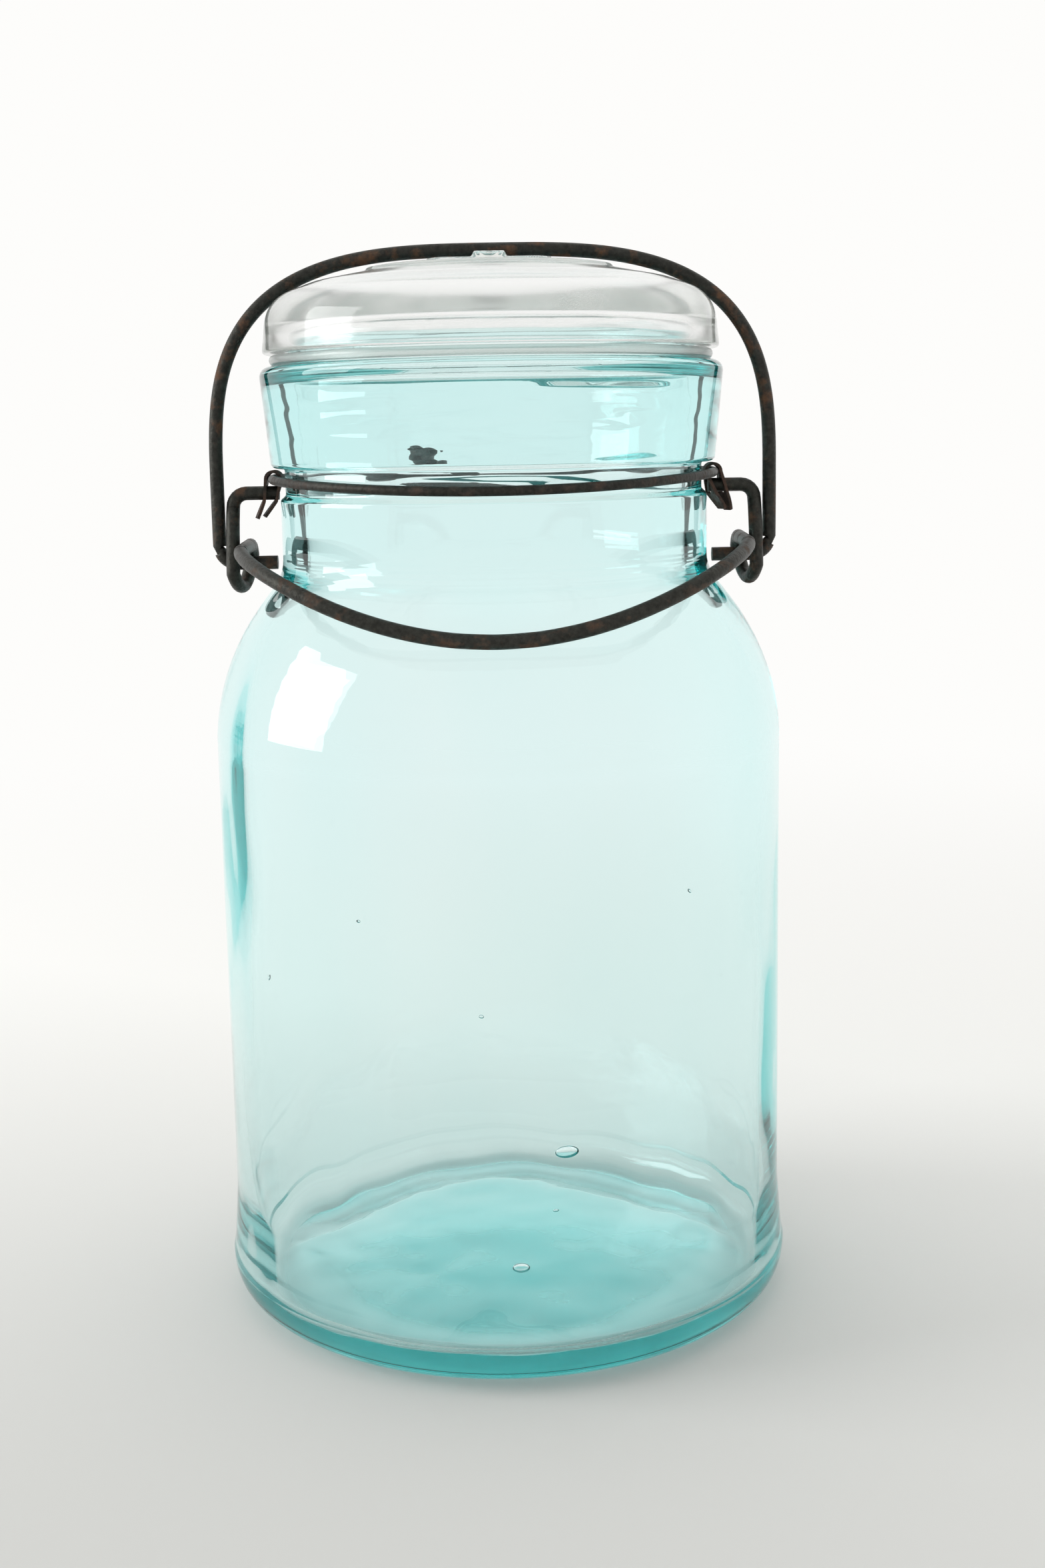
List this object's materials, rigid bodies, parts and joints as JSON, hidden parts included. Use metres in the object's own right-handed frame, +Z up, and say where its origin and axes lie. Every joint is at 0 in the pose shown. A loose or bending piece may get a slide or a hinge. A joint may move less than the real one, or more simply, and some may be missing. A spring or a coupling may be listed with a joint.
{
  "type": "canning jar",
  "caption": "Round glass canning jar with a domed glass lid held down by a wire bail and a swinging wire lever.",
  "frame": {"origin": "centre of the base, on the surface the jar stands on", "axes": "+Z up along the jar's axis; the lever's handle is at -Y; the lever and the bail turn about lines along X"},
  "size_m": [0.1022, 0.1022, 0.1863],
  "materials": {
    "aqua_glass": "smooth, slightly wavy, pale aqua",
    "clear_glass": "smooth, clear",
    "ring_rubber": "pale, slightly translucent",
    "dark_steel": "dark oxidised steel wire with rust patches",
    "rusty_steel": "rusty steel"
  },
  "bodies": {
    "jar": {"jar_body": "aqua_glass", "sealing_ring": "ring_rubber", "lid": "clear_glass", "neck_wire": "rusty_steel", "left_clip": "rusty_steel", "right_clip": "rusty_steel"},
    "lever": {"lever_wire": "dark_steel"},
    "bail": {"bail_wire": "dark_steel"}
  },
  "joints": [
    {"name": "lever_swing", "type": "hinge", "parent": "jar", "child": "lever", "pos_m": [0, 0, 0.1445], "axis": [-1, 0, 0], "range_deg": [0, 120]},
    {"name": "bail_swing", "type": "hinge", "parent": "lever", "child": "bail", "pos_m": [0, 0, 0.1324], "axis": [-1, 0, 0], "range_deg": [-95, 0]}
  ],
  "couplings": [
    {"joint": "bail_swing", "follows": "lever_swing", "ratio": -0.75}
  ]
}
